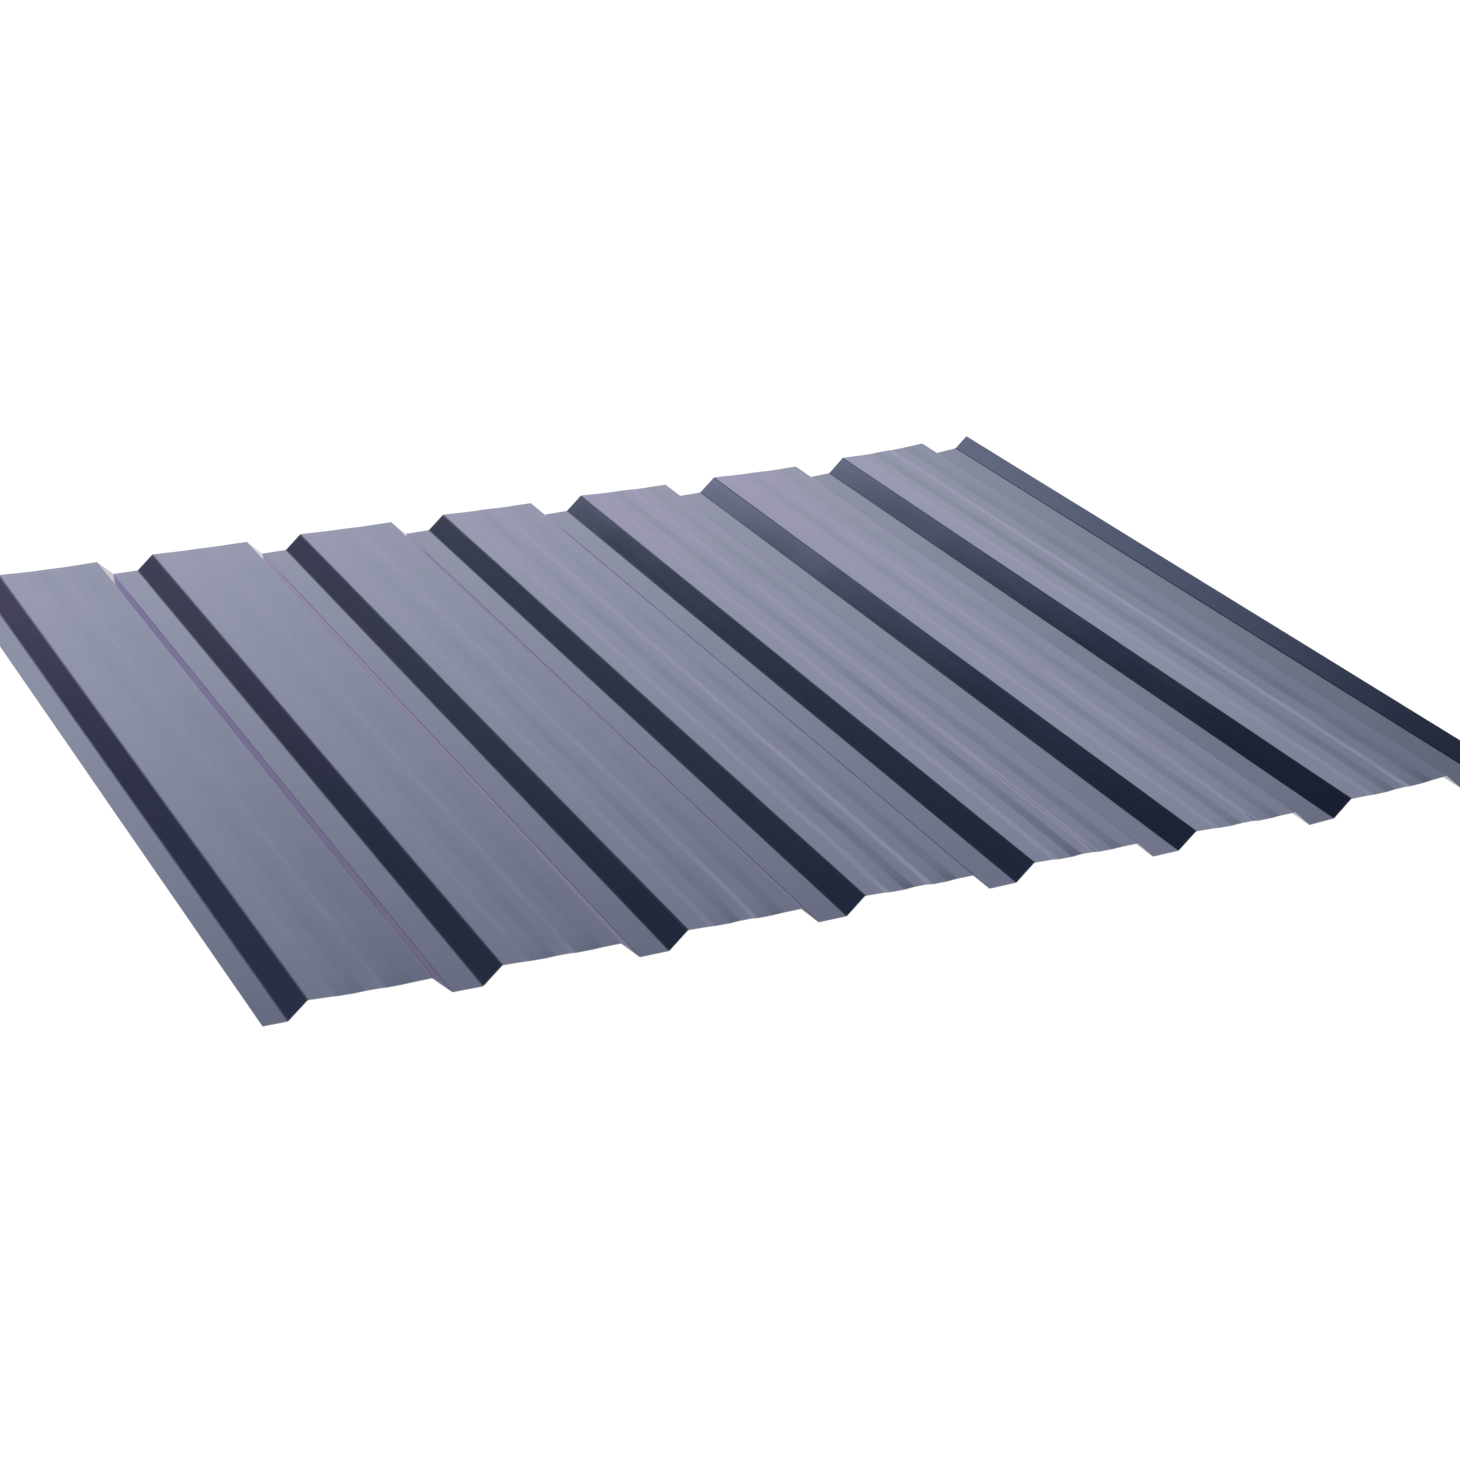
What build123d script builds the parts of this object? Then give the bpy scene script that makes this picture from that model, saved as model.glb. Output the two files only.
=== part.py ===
"""Trapezoidal wall cladding sheet, roll formed from one strip of coated steel. Millimetres, +Z up.

The sheet lies on the undersides of its valleys, with its ribs along Y. The origin is at the middle
of the footprint, on the level that the valleys rest on.
"""

import os

from build123d import *

# Strip
steel_thickness = 0.5
sheet_length = 1000.0

# Wave: wide crowns that face out, parted by narrow valleys that are screwed to the wall rails
wave_count = 7
profile_depth = 16.0
valley_width = 26.0
web_run = 16.5
bend_radius = 4.0

# Crown: two shallow grooves that stiffen its flat, each with a short wall and a long one
crest_side_width = 16.0
crest_middle_width = 10.0
groove_floor_width = 13.5
groove_short_wall_run = 6.5
groove_long_wall_run = 9.5
groove_depth = 0.5
groove_radius = 60.0

# Side laps: a low flat on one edge, and on the other a wider valley and a free web that go over such a flat
lap_flat_width = 20.5
lap_clearance = 1.5
free_web_run = 13.8

# Worked out from the sizes above
rise = profile_depth - steel_thickness
groove_width = groove_short_wall_run + groove_floor_width + groove_long_wall_run
crown_width = 2 * crest_side_width + 2 * groove_width + crest_middle_width
wave_pitch = web_run + crown_width + web_run + valley_width
lap_valley_width = valley_width + lap_clearance
free_web_rise = rise * free_web_run / web_run
sheet_width = lap_flat_width + wave_count * wave_pitch + lap_clearance + free_web_run

# Radii on the underside: a bend over the top has its inside there, a bend at the foot its outside
crown_bend = bend_radius
foot_bend = bend_radius + steel_thickness
groove_lip_bend = groove_radius
groove_foot_bend = groove_radius + steel_thickness

# Straights of the underside, each as its run, its climb and the radius of the bend that ends it
groove_straights = [
    (groove_short_wall_run, -groove_depth, groove_foot_bend),
    (groove_floor_width, 0, groove_foot_bend),
    (groove_long_wall_run, groove_depth, groove_lip_bend),
]
crown_straights = [
    (crest_side_width, 0, groove_lip_bend),
    *groove_straights,
    (crest_middle_width, 0, groove_lip_bend),
    *groove_straights,
    (crest_side_width, 0, crown_bend),
]
rib_straights = [
    (web_run, rise, crown_bend),
    *crown_straights,
    (web_run, -rise, foot_bend),
]
wave_straights = [*rib_straights, (valley_width, 0, foot_bend)]
section_straights = [
    (lap_flat_width, 0, foot_bend),
    *wave_straights * (wave_count - 1),
    *rib_straights,
    (lap_valley_width, 0, foot_bend),
    (free_web_run, free_web_rise, 0),
]

# Corners of the underside, walked from the lap flat's free edge to the free web's edge
corners = [(-sheet_width / 2, 0)]
bend_radii = []
for run, climb, end_bend in section_straights:
    x, z = corners[-1]
    corners.append((x + run, z + climb))
    bend_radii.append(end_bend)
bend_radii.pop()

with BuildPart() as cladding_sheet:
    with BuildSketch(Plane.XZ):
        with BuildLine():
            FilletPolyline(*corners, radius=bend_radii)
            offset(amount=steel_thickness, side=Side.LEFT)
        make_face()
    extrude(amount=sheet_length / 2, both=True)

cladding_sheet.part.label = "cladding_sheet"
os.makedirs("parts", exist_ok=True)
export_step(cladding_sheet.part, "parts/cladding_sheet.step")
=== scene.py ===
from math import atan2, pi, radians, tan

import bmesh
import bpy
from mathutils import Matrix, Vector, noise


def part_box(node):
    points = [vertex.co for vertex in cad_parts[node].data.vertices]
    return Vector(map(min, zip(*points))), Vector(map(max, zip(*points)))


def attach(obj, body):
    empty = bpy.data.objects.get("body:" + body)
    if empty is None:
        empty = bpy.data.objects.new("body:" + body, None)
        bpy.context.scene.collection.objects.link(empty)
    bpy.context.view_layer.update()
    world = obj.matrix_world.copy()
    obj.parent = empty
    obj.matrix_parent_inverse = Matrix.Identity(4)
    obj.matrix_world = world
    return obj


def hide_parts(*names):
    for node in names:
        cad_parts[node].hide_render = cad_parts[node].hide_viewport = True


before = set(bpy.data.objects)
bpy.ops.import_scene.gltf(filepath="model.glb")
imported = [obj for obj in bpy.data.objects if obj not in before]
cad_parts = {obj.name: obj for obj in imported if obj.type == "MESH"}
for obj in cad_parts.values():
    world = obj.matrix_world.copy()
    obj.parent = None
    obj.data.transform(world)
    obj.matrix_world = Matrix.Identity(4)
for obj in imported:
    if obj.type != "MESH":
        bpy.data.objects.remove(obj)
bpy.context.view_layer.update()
sheetLow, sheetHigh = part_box("cladding_sheet")
sheetWidth, sheetLength, sheetDepth = sheetHigh - sheetLow
print("frame loaded, sheet", round(sheetWidth, 4), round(sheetLength, 4), round(sheetDepth, 4))


def deselectAll():
    if bpy.context.object and bpy.context.object.mode != "OBJECT":
        bpy.ops.object.mode_set(mode="OBJECT")
    bpy.ops.object.select_all(action="DESELECT")


def makeActive(piece):
    deselectAll()
    piece.select_set(True)
    bpy.context.view_layer.objects.active = piece


def applyModifier(piece, kind, name, **settings):
    makeActive(piece)
    modifier = piece.modifiers.new(name, kind)
    for key, value in settings.items():
        setattr(modifier, key, value)
    bpy.ops.object.modifier_apply(modifier=modifier.name)


def selectEdges(piece, wanted):
    # piece is in edit mode, wanted(edge) says which edges to take
    mesh = bmesh.from_edit_mesh(piece.data)
    bpy.ops.mesh.select_all(action="DESELECT")
    for edge in mesh.edges:
        if wanted(edge):
            edge.select_set(True)
    bmesh.update_edit_mesh(piece.data)


# Nodes of a material, by short helpers
def newMaterial(name):
    material = bpy.data.materials.new(name)
    material.use_nodes = True
    tree = material.node_tree
    tree.nodes.clear()
    output = tree.nodes.new("ShaderNodeOutputMaterial")
    shader = tree.nodes.new("ShaderNodeBsdfPrincipled")
    tree.links.new(shader.outputs["BSDF"], output.inputs["Surface"])
    return material, tree, shader


def addNode(tree, kind, values=None, **settings):
    node = tree.nodes.new(kind)
    for key, value in settings.items():
        setattr(node, key, value)
    for key, value in (values or {}).items():
        node.inputs[key].default_value = value
    return node


def stretchedNoise(tree, stretch, detail, scale=1.0):
    # noise on Object coordinates, stretch gives features per metre along x, y and z
    place = addNode(tree, "ShaderNodeTexCoord")
    mapping = addNode(tree, "ShaderNodeMapping", {"Scale": stretch})
    texture = addNode(tree, "ShaderNodeTexNoise", {"Scale": scale, "Detail": detail})
    tree.links.new(place.outputs["Object"], mapping.inputs["Vector"])
    tree.links.new(mapping.outputs["Vector"], texture.inputs["Vector"])
    return texture.outputs["Fac"]


def ranged(tree, value, low, high, fromLow=0.3, fromHigh=0.7):
    # most of a noise lies between fromLow and fromHigh, which become low and high
    node = addNode(tree, "ShaderNodeMapRange", {1: fromLow, 2: fromHigh, 3: low, 4: high})
    tree.links.new(value, node.inputs["Value"])
    return node.outputs["Result"]


def twoTone(tree, shader, value, dark, pale):
    # base colour between two shades, by a noise
    colour = addNode(tree, "ShaderNodeMix", {"A": dark, "B": pale}, data_type="RGBA")
    tree.links.new(ranged(tree, value, 0, 1), colour.inputs["Factor"])
    tree.links.new(colour.outputs["Result"], shader.inputs["Base Color"])


# Coating of the face: glossy dark slate polyester, a little uneven along the rolling direction
facePaint = {
    "darkColour": (0.0066, 0.0110, 0.0246, 1),
    "paleColour": (0.0083, 0.0139, 0.0304, 1),
    "shineTint": (0.30, 0.45, 1.0, 1),
    "ior": 1.6,
    "roughness": (0.08, 0.11),
    "streaksPerMetre": (260, 3, 260),
    "cloudsPerMetre": (9, 4, 9),
    "rollWavesPerMetre": (45, 7, 45),
    "rollWaveHeight": 0.00004,
    "peelPerMetre": 900,
    "peelHeight": 0.000004,
}


def paintFace():
    material, tree, shader = newMaterial("slateCoating")
    streaks = stretchedNoise(tree, facePaint["streaksPerMetre"], detail=3)
    clouds = stretchedNoise(tree, facePaint["cloudsPerMetre"], detail=2)
    twoTone(tree, shader, clouds, facePaint["darkColour"], facePaint["paleColour"])
    tree.links.new(ranged(tree, streaks, *facePaint["roughness"]), shader.inputs["Roughness"])
    rollWaves = stretchedNoise(tree, facePaint["rollWavesPerMetre"], detail=2)
    peel = stretchedNoise(tree, (1, 1, 1), detail=2, scale=facePaint["peelPerMetre"])
    rolled = addNode(tree, "ShaderNodeBump", {"Strength": 1.0, "Distance": facePaint["rollWaveHeight"]})
    bump = addNode(tree, "ShaderNodeBump", {"Strength": 1.0, "Distance": facePaint["peelHeight"]})
    tree.links.new(rollWaves, rolled.inputs["Height"])
    tree.links.new(peel, bump.inputs["Height"])
    tree.links.new(rolled.outputs["Normal"], bump.inputs["Normal"])
    tree.links.new(bump.outputs["Normal"], shader.inputs["Normal"])
    shader.inputs["IOR"].default_value = facePaint["ior"]
    shader.inputs["Specular Tint"].default_value = facePaint["shineTint"]
    return material


# Lacquer of the reverse: thin light grey, with a faint roller texture
backLacquer = {
    "darkColour": (0.36, 0.37, 0.36, 1),
    "paleColour": (0.44, 0.45, 0.44, 1),
    "roughness": (0.42, 0.55),
    "rollerPerMetre": (400, 25, 400),
}


def paintBack():
    material, tree, shader = newMaterial("backLacquer")
    roller = stretchedNoise(tree, backLacquer["rollerPerMetre"], detail=3)
    twoTone(tree, shader, roller, backLacquer["darkColour"], backLacquer["paleColour"])
    tree.links.new(ranged(tree, roller, *backLacquer["roughness"]), shader.inputs["Roughness"])
    return material


# Sheared edge: bare zinc and steel
cutEdge = {
    "steelColour": (0.30, 0.31, 0.33, 1),
    "zincColour": (0.50, 0.51, 0.53, 1),
    "roughness": (0.35, 0.55),
    "shearMarksPerMetre": (1500, 1500, 300),
}


def paintEdge():
    material, tree, shader = newMaterial("shearedEdge")
    marks = stretchedNoise(tree, cutEdge["shearMarksPerMetre"], detail=2)
    twoTone(tree, shader, marks, cutEdge["steelColour"], cutEdge["zincColour"])
    tree.links.new(ranged(tree, marks, *cutEdge["roughness"]), shader.inputs["Roughness"])
    shader.inputs["Metallic"].default_value = 1.0
    return material


# The sheet: one wave by extrusion, repeated, trimmed at both side laps, bent, then given its thickness
sheet = {
    "waves": 7,
    "rows": 100,
    "steelThickness": 0.0005,
    "valleyWidth": 0.026,
    "webRun": 0.0165,
    "crestSideWidth": 0.0165,
    "crestMiddleWidth": 0.011,
    "grooveFloorWidth": 0.014,
    "grooveShortRun": 0.005,
    "grooveLongRun": 0.0095,
    "grooveDepth": 0.0005,
    "lapFlatWidth": 0.0205,
    "lapClearance": 0.0015,
    "bendRadius": 0.0016,
    "grooveRadius": 0.035,
    "bendSegments": 5,
    "grooveSegments": 3,
    "bendSlackShare": 0.125,  # share of a bend's angle by which an edge may differ from it
    "mergeReach": 0.00005,
    "smoothAngle": 40,
    "flatsWeight": 100,
}
rise = sheetDepth - sheet["steelThickness"]
grooveWidth = sheet["grooveShortRun"] + sheet["grooveFloorWidth"] + sheet["grooveLongRun"]
crownWidth = 2 * sheet["crestSideWidth"] + 2 * grooveWidth + sheet["crestMiddleWidth"]
pitch = 2 * sheet["webRun"] + crownWidth + sheet["valleyWidth"]
firstFoot = sheetLow.x + sheet["lapFlatWidth"]
lastFoot = firstFoot + sheet["waves"] * pitch + sheet["lapClearance"]

# How the thin sheet lies, from left to right where a value has one number for each wave
sheetLie = {
    "crownDishes": (0.0009, 0.0005, 0.0005, 0.0005, 0.0005, 0.0004, 0.0008),  # sag of the crowns
    "frontShares": (0.35, 0.4, 0.66, 1.1, 1.2, 0.85, 0.8),  # of the grooves' depth, at the front end
    "backShares": (0.35, 0.3, 0.35, 0.55, 0.7, 0.65, 0.85),
    "outerWallShare": 0.65,
    "grooveWaver": 0.4,  # depth varies along a groove
    "grooveWaverSize": 0.08,
    "grooveShift": 0.0015,
    "grooveWander": 0.0012,  # and its line isn't ruled straight
    "grooveWanderSize": 0.05,
    "grooveSeedStep": 7.3,
    "waverSeed": 0,
    "wanderSeed": 5,
    "endSpring": 0.0003,  # the cut front end springs open
    "endSpringReach": 0.03,
    "leftLift": (0.0044, 0.0007),  # side edges curl up, at the front and at the back
    "leftReach": 0.38,
    "rightLift": (0.0108, 0.0110),
    "rightReach": 0.26,
    "valleyFolds": (0.0001, 0.00025, 0.00025, 0.0004, 0.0004, 0.0005, 0.00035),
    "flatWave": 0.00025,  # the flats are not quite flat
    "flatWaveSize": (0.06, 0.12, 0.1),
    "flatWaveDetail": 1,
}


def edgesRightOf(x):
    return lambda edge: all(vertex.co.x > x for vertex in edge.verts)


def bendsOf(angle, outside):
    # edges that turn by this angle, with the underside inside the bend or outside it
    def isBend(edge):
        if len(edge.link_faces) != 2:
            return False
        if abs(edge.calc_face_angle() - angle) > angle * sheet["bendSlackShare"]:
            return False
        foldsDown = edge.calc_face_angle_signed() > 0
        return foldsDown != outside
    return isBend


def modelSheet():
    # Valley floor ahead of the first web
    deselectAll()
    bpy.ops.mesh.primitive_grid_add(x_subdivisions=1, y_subdivisions=sheet["rows"], size=1)
    piece = bpy.context.object
    piece.name = "claddingSheet"
    bpy.ops.object.mode_set(mode="EDIT")
    bpy.ops.mesh.select_mode(type="EDGE")
    bpy.ops.transform.resize(value=(sheet["valleyWidth"], sheetLength, 1))
    bpy.ops.transform.translate(value=(firstFoot - sheet["valleyWidth"] / 2, 0, sheetLow.z))

    # Web, crown with its two grooves, web
    sideCrest = (sheet["crestSideWidth"], 0)
    middleCrest = (sheet["crestMiddleWidth"], 0)
    groove = [
        (sheet["grooveShortRun"], -sheet["grooveDepth"]),
        (sheet["grooveFloorWidth"], 0),
        (sheet["grooveLongRun"], sheet["grooveDepth"]),
    ]
    crown = [sideCrest, *groove, middleCrest, *groove, sideCrest]
    selectEdges(piece, edgesRightOf(firstFoot - sheet["valleyWidth"] / 2))
    for run, climb in [(sheet["webRun"], rise), *crown, (sheet["webRun"], -rise)]:
        bpy.ops.mesh.extrude_edges_move(TRANSFORM_OT_translate={"value": (run, 0, climb)})
    bpy.ops.object.mode_set(mode="OBJECT")
    applyModifier(
        piece, "ARRAY", "waves", count=sheet["waves"] + 1, use_relative_offset=False,
        use_constant_offset=True, constant_offset_displace=(pitch, 0, 0),
        use_merge_vertices=True, merge_threshold=sheet["mergeReach"],
    )

    # Side laps: a narrow flat on the left, a wider valley and a web without its crown on the right
    makeActive(piece)
    bpy.ops.object.mode_set(mode="EDIT")
    selectEdges(piece, edgesRightOf(lastFoot - sheet["valleyWidth"] / 2))
    bpy.ops.transform.translate(value=(sheet["lapClearance"], 0, 0))
    for trimAt, inner in ((sheetLow.x, True), (sheetHigh.x, False)):
        bpy.ops.mesh.select_all(action="SELECT")
        bpy.ops.mesh.bisect(
            plane_co=(trimAt, 0, 0), plane_no=(1, 0, 0), clear_inner=inner, clear_outer=not inner,
        )

    # Bends: the grooves' wide ones first, then the webs' tight ones
    for climb, run, radius, segments in (
        (sheet["grooveDepth"], sheet["grooveShortRun"], sheet["grooveRadius"], sheet["grooveSegments"]),
        (sheet["grooveDepth"], sheet["grooveLongRun"], sheet["grooveRadius"], sheet["grooveSegments"]),
        (rise, sheet["webRun"], sheet["bendRadius"], sheet["bendSegments"]),
    ):
        angle = atan2(climb, run)
        for outside in (False, True):
            selectEdges(piece, bendsOf(angle, outside))
            undersideRadius = radius + (sheet["steelThickness"] if outside else 0)
            tangent = undersideRadius * tan(angle / 2)
            bpy.ops.mesh.bevel(offset_type="OFFSET", offset=tangent, segments=segments)
    bpy.ops.object.mode_set(mode="OBJECT")
    print("section bent,", len(piece.data.vertices), "points")
    return piece


def crownPlace(place):
    # a point's wave, its distance from the crown's middle, and whether it is among the grooves
    wave, along = divmod(place.x - firstFoot, pitch)
    side = along - sheet["webRun"] - crownWidth / 2
    grooved = wave >= 0 and abs(side) <= (crownWidth - sheet["crestSideWidth"]) / 2
    return int(wave), side, grooved


def grooveNoise(wave, side, along, seed):
    # each groove has its own noise
    return noise.noise((sheetLie["grooveSeedStep"] * (2 * wave + (side > 0)), along, seed))


def grooveLift(place):
    # how far a point of a crown moves up, so that its grooves get their own depth
    wave, side, grooved = crownPlace(place)
    if not grooved:
        return 0
    fromFront = place.y - sheetLow.y
    front, back = (sheetLie[key][wave] for key in ("frontShares", "backShares"))
    along = place.y / sheetLie["grooveWaverSize"]
    waver = sheetLie["grooveWaver"] * grooveNoise(wave, side, along, sheetLie["waverSeed"])
    share = (front + (back - front) * fromFront / sheetLength) * (1 + waver)
    spring = sheetLie["endSpring"] * max(0, 1 - fromFront / sheetLie["endSpringReach"]) ** 2
    inner = share * sheet["grooveDepth"] + spring
    outer = inner * sheetLie["outerWallShare"]
    sunk = min(1, max(0, (rise - place.z) / sheet["grooveDepth"]))
    lean = (sheet["grooveLongRun"] - sheet["grooveShortRun"]) / 2
    floorMiddle = (sheet["crestMiddleWidth"] + grooveWidth) / 2 - (lean if side > 0 else -lean)
    wanted = -outer * sunk if abs(side) > floorMiddle else inner - outer - inner * sunk
    return wanted + sheet["grooveDepth"] * sunk


def grooveWander(place):
    # how far a point of a groove moves sideways
    wave, side, grooved = crownPlace(place)
    if not grooved:
        return 0
    along = place.y / sheetLie["grooveWanderSize"]
    wander = sheetLie["grooveWander"] * grooveNoise(wave, side, along, sheetLie["wanderSeed"])
    return sheetLie["grooveShift"] + wander


def edgeLift(place):
    # how far a point moves up as the side edges curl, the crowns sag and the valleys fold
    along = (place.y - sheetLow.y) / sheetLength
    front, back = sheetLie["leftLift"]
    inside = max(0, place.x - firstFoot)
    lift = max(0, 1 - inside / sheetLie["leftReach"]) ** 2 * (front + (back - front) * along)
    front, back = sheetLie["rightLift"]
    inside = max(0, lastFoot - place.x)
    lift += max(0, 1 - inside / sheetLie["rightReach"]) ** 2 * (front + (back - front) * along)
    for wave, dish in enumerate(sheetLie["crownDishes"]):
        side = place.x - firstFoot - wave * pitch - sheet["webRun"] - crownWidth / 2
        lift -= dish * max(0, 1 - (2 * side / crownWidth) ** 2)
    for wave, fold in enumerate(sheetLie["valleyFolds"]):
        side = place.x - firstFoot - (wave + 1) * pitch + sheet["valleyWidth"] / 2
        slant = min(1, max(-1, side / (sheet["valleyWidth"] / 2)))
        beyond = max(0, abs(side) - sheet["valleyWidth"] / 2 - sheet["webRun"])
        lift += fold * (1 + slant) * max(0, 1 - beyond / crownWidth)
    return lift


def movePoints(piece, name, axis, move):
    # one Displace for the points that go forward and one for those that go back, by shares of the most
    moves = [move(vertex.co) for vertex in piece.data.vertices]
    for way in (1, -1):
        most = max(way * length for length in moves)
        if most <= 0:
            continue
        group = piece.vertex_groups.new(name=name)
        for index, length in enumerate(moves):
            group.add([index], max(0, way * length) / most, "REPLACE")
        applyModifier(
            piece, "DISPLACE", name, direction=axis, strength=way * most, mid_level=0,
            vertex_group=group.name,
        )


def laySheet(piece):
    movePoints(piece, "grooves", "Z", grooveLift)
    movePoints(piece, "wander", "X", grooveWander)
    movePoints(piece, "curl", "Z", edgeLift)
    # Flats swell and sink a little between the bends, in clouds of the empty's size
    bpy.ops.object.empty_add(location=(0, 0, 0))
    waveSpace = bpy.context.object
    waveSpace.scale = sheetLie["flatWaveSize"]
    bpy.context.view_layer.update()
    swell = bpy.data.textures.new("swell", "CLOUDS")
    swell.noise_scale = 1.0
    swell.noise_depth = sheetLie["flatWaveDetail"]
    applyModifier(
        piece, "DISPLACE", "swell", direction="Z", strength=sheetLie["flatWave"], mid_level=0.5,
        texture=swell, texture_coords="OBJECT", texture_coords_object=waveSpace,
    )
    bpy.data.objects.remove(waveSpace)
    print("sheet laid")


def finishSheet(piece):
    for material in (paintFace(), paintBack(), paintEdge()):
        piece.data.materials.append(material)
    applyModifier(
        piece, "SOLIDIFY", "thickness", thickness=sheet["steelThickness"], offset=1,
        use_even_offset=True, material_offset=1, material_offset_rim=2,
    )
    makeActive(piece)
    bpy.ops.object.shade_smooth_by_angle(angle=radians(sheet["smoothAngle"]))
    applyModifier(piece, "WEIGHTED_NORMAL", "flats", keep_sharp=True, weight=sheet["flatsWeight"])
    print("sheet", len(piece.data.polygons), "faces")


claddingSheet = modelSheet()
laySheet(claddingSheet)
finishSheet(claddingSheet)
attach(claddingSheet, "root")
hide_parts("cladding_sheet")

# Stage: white floor under a soft studio dome
stage = {
    "floorSide": 60,
    "floorGap": 0.0003,
    "floorColour": (0.25, 0.25, 0.25, 1),
    "floorRoughness": 0.9,
    "floorGlow": 0.92,
    "glowColour": (1, 1, 1, 1),
}


def buildFloor():
    deselectAll()
    height = sheetLow.z - stage["floorGap"]
    bpy.ops.mesh.primitive_plane_add(size=stage["floorSide"], location=(0, 0, height))
    floor = bpy.context.object
    floor.name = "paleFloor"
    material, tree, shader = newMaterial("paleFloor")
    shader.inputs["Base Color"].default_value = stage["floorColour"]
    shader.inputs["Roughness"].default_value = stage["floorRoughness"]
    shader.inputs["Specular IOR Level"].default_value = 0.0
    shader.inputs["Emission Color"].default_value = stage["glowColour"]
    shader.inputs["Emission Strength"].default_value = stage["floorGlow"]
    floor.data.materials.append(material)


# Light of the dome. lightUp: height, light and the share of its green. shareAcross: place from left
# to right behind the sheet, share of that light and how cool it is, with a dark gap on the left and a
# strip beside the gap. Low on the right there is a shade, and away from the back the dome is plain
dome = {
    "tint": (0.985, 0.993, 1.095),
    "lightUp": [
        (0.0, 2.4, 0.85), (0.22, 2.4, 0.8), (0.30, 2.13, 0.82), (0.33, 2.03, 1.0), (0.40, 1.95, 1.0),
        (0.45, 1.745, 1.0), (0.50, 1.45, 1.0), (0.56, 0.87, 1.0), (0.59, 0.36, 1.0), (0.64, 0.31, 1.0),
        (0.78, 0.38, 1.0), (1.0, 0.86, 1.0),
    ],
    "shareAcross": [
        (-1.25, 0.35, 1.0), (-0.60, 0.28, 1.0), (-0.50, 0.19, 1.12), (-0.43, 0.135, 1.12),
        (-0.39, 0.225, 1.03), (-0.345, 0.21, 1.08), (-0.325, 0.22, 1.08), (-0.306, 1.05, 0.97),
        (-0.29, 1.75, 0.91), (-0.268, 1.62, 0.91), (-0.23, 1.0, 0.95), (-0.18, 0.5, 1.0),
        (-0.13, 0.36, 1.0), (0.03, 0.36, 1.0), (0.10, 0.6, 1.0), (0.16, 0.95, 1.0), (0.19, 1.04, 1.0),
        (0.235, 1.035, 1.0), (0.265, 1.0, 1.0), (0.32, 0.985, 1.0), (0.40, 0.965, 1.0),
        (0.46, 0.985, 1.0), (0.50, 1.0, 1.0), (0.54, 0.96, 1.0), (1.25, 0.96, 1.0),
    ],
    "gapLean": 0.29,
    "gapLeanFrom": 0.408,
    "shadeSlope": 3.0,
    "shadeReach": (-0.40, -0.27),
    "shadeColour": (0.44, 0.47, 0.60, 1),
    "plainShare": 0.5,
    "plainReach": (0.25, 0.6),
}


def lightRamp(tree, value, stops):
    # a colour by value, as shares of the most light, which comes back too
    low, high = stops[0][0], stops[-1][0]
    most = max(max(light) for at, light in stops)
    share = addNode(tree, "ShaderNodeMapRange", {1: low, 2: high, 3: 0, 4: 1})
    ramp = addNode(tree, "ShaderNodeValToRGB")
    elements = ramp.color_ramp.elements
    while len(elements) < len(stops):
        elements.new(0.5)
    for element, (at, light) in zip(elements, stops):
        element.position = (at - low) / (high - low)
        element.color = (*[part / most for part in light], 1)
    tree.links.new(value, share.inputs["Value"])
    tree.links.new(share.outputs["Result"], ramp.inputs["Fac"])
    return ramp.outputs["Color"], most


def leaning(tree, axes, slope):
    # a direction's x, moved by its height
    node = addNode(tree, "ShaderNodeMath", {1: slope}, operation="MULTIPLY_ADD")
    tree.links.new(axes.outputs["Z"], node.inputs[0])
    tree.links.new(axes.outputs["X"], node.inputs[2])
    return node.outputs[0]


def softStep(tree, value, reach):
    # from 0 to 1 over the reach, with soft ends
    low, high = reach
    node = addNode(tree, "ShaderNodeMapRange", {1: low, 2: high}, interpolation_type="SMOOTHSTEP")
    tree.links.new(value, node.inputs["Value"])
    return node.outputs["Result"]


def multiplied(tree, first, second):
    node = addNode(tree, "ShaderNodeVectorMath", operation="MULTIPLY")
    tree.links.new(first, node.inputs[0])
    tree.links.new(second, node.inputs[1])
    return node.outputs["Vector"]


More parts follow.
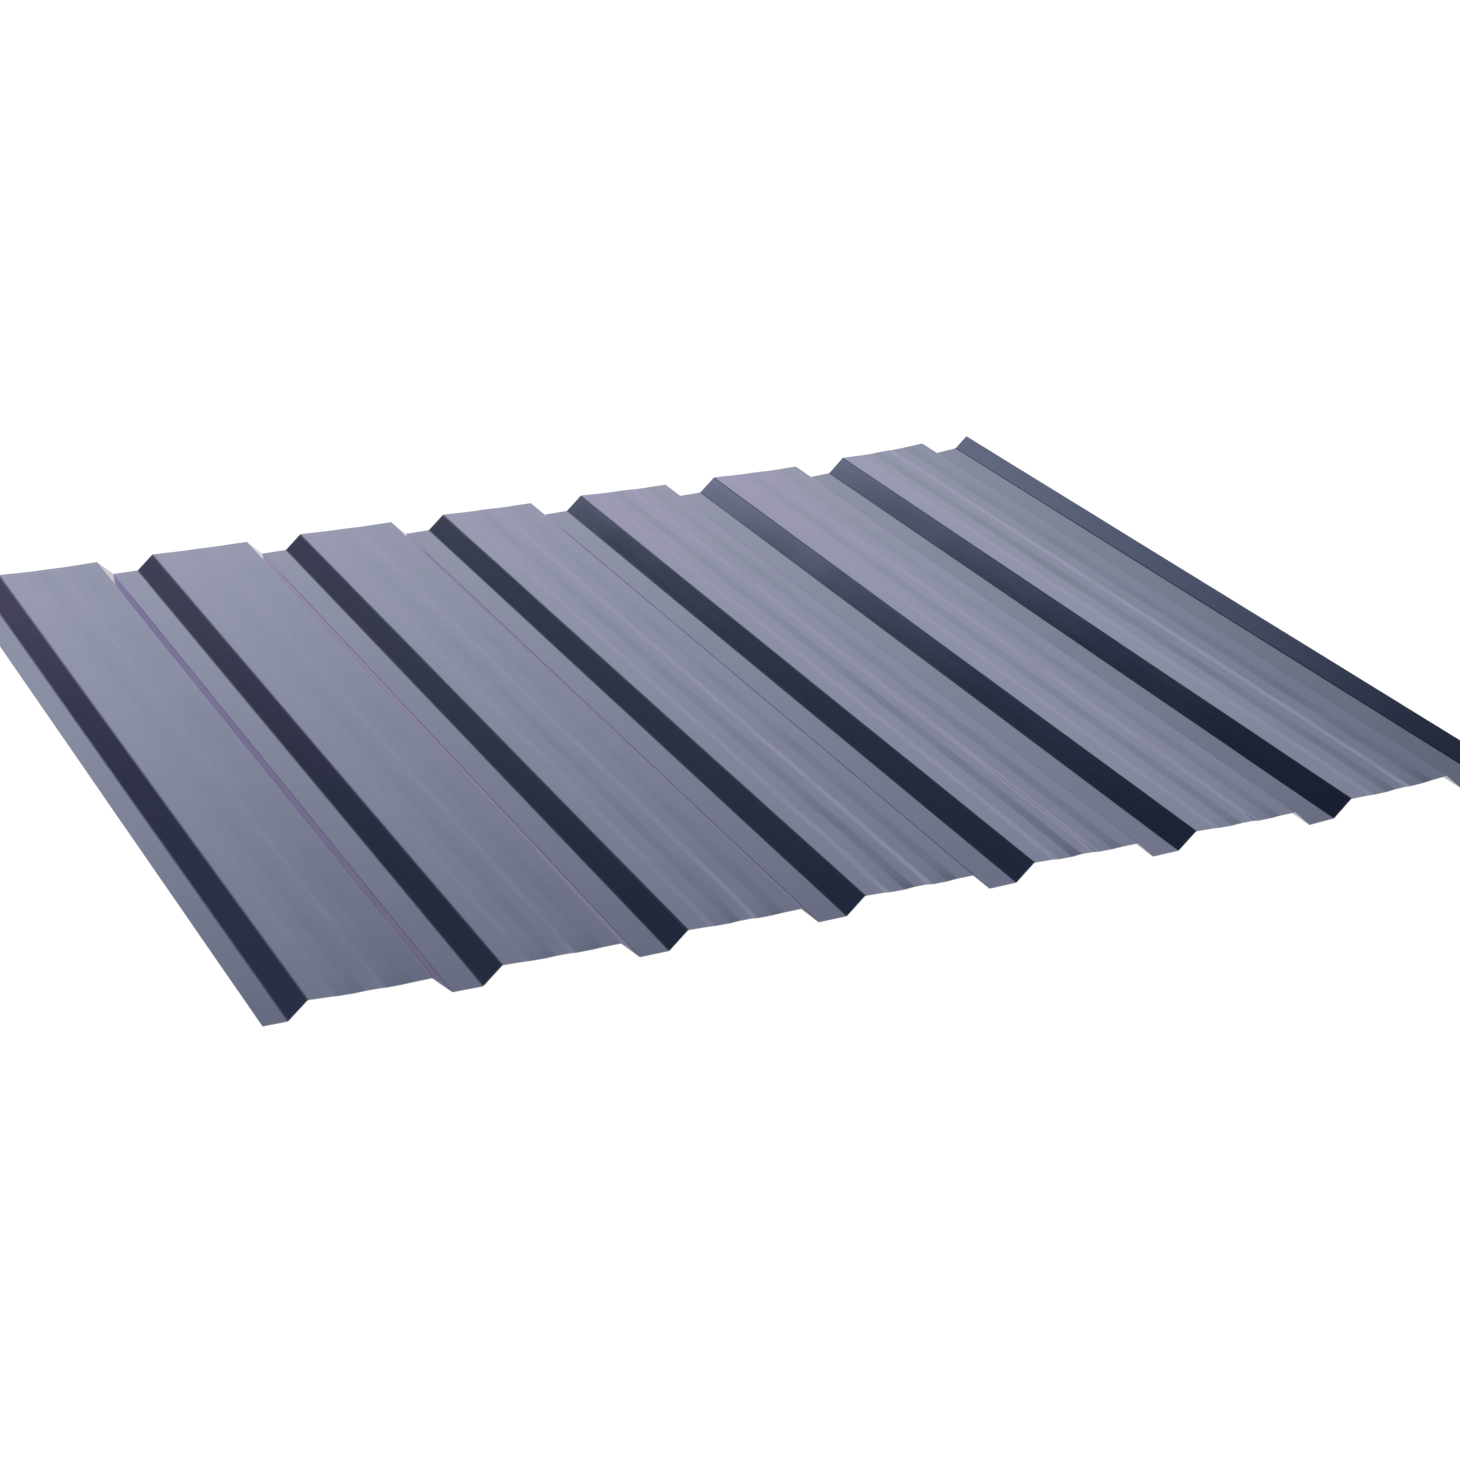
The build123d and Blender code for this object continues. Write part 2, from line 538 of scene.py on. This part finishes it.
def buildDome():
    world = bpy.data.worlds.new("studioDome")
    bpy.context.scene.world = world
    world.use_nodes = True
    tree = world.node_tree
    tree.nodes.clear()
    output = tree.nodes.new("ShaderNodeOutputWorld")
    place = addNode(tree, "ShaderNodeTexCoord")
    axes = addNode(tree, "ShaderNodeSeparateXYZ")
    tree.links.new(place.outputs["Generated"], axes.inputs["Vector"])
    red, green, blue = dome["tint"]
    lights = [
        (at, (light * red, light * green * greenShare, light * blue))
        for at, light, greenShare in dome["lightUp"]
    ]
    up, mostLight = lightRamp(tree, axes.outputs["Z"], lights)
    # the gap's edge leans: a higher direction counts as further right
    shift = dome["gapLean"] * dome["gapLeanFrom"]
    shares = [
        (at + shift, (share / max(1, cool) ** 2, share, share * cool))
        for at, share, cool in dome["shareAcross"]
    ]
    across, mostShare = lightRamp(tree, leaning(tree, axes, dome["gapLean"]), shares)
    # the shade: further right and lower is darker
    shadeColours = {"A": (1, 1, 1, 1), "B": dome["shadeColour"]}
    shade = addNode(tree, "ShaderNodeMix", shadeColours, data_type="RGBA")
    inShade = softStep(tree, leaning(tree, axes, -dome["shadeSlope"]), dome["shadeReach"])
    tree.links.new(inShade, shade.inputs["Factor"])
    # gap, strip and shade are only behind the sheet
    plain = dome["plainShare"] / mostShare
    share = addNode(tree, "ShaderNodeMix", {"A": (plain, plain, plain, 1)}, data_type="RGBA")
    tree.links.new(multiplied(tree, across, shade.outputs["Result"]), share.inputs["B"])
    tree.links.new(softStep(tree, axes.outputs["Y"], dome["plainReach"]), share.inputs["Factor"])
    light = multiplied(tree, up, share.outputs["Result"])
    background = addNode(tree, "ShaderNodeBackground", {"Strength": mostLight * mostShare})
    tree.links.new(light, background.inputs["Color"])
    tree.links.new(background.outputs["Background"], output.inputs["Surface"])


# Camera at the photograph's angle
camera = {
    "place": (-1.21286, -2.67703, 1.23196),
    "heading": 25.23,
    "lookDown": 23.48,
    "roll": 1.02,
    "focalPixels": 3324.6,
    "imagePixels": 1460,
    "sensor": 36.0,
}


def buildCamera():
    lens = bpy.data.cameras.new("photoCamera")
    lens.sensor_width = camera["sensor"]
    lens.lens = camera["sensor"] * camera["focalPixels"] / camera["imagePixels"]
    eye = bpy.data.objects.new("photoCamera", lens)
    bpy.context.scene.collection.objects.link(eye)
    turn = Matrix.Rotation(-radians(camera["heading"]), 3, "Z")
    tilt = Matrix.Rotation(pi / 2 - radians(camera["lookDown"]), 3, "X")
    roll = Matrix.Rotation(radians(camera["roll"]), 3, "Z")
    eye.rotation_euler = (turn @ tilt @ roll).to_euler()
    eye.location = camera["place"]
    bpy.context.scene.camera = eye


buildFloor()
buildDome()
buildCamera()
bpy.context.scene.view_settings.view_transform = "Standard"
print("stage, dome and camera set")
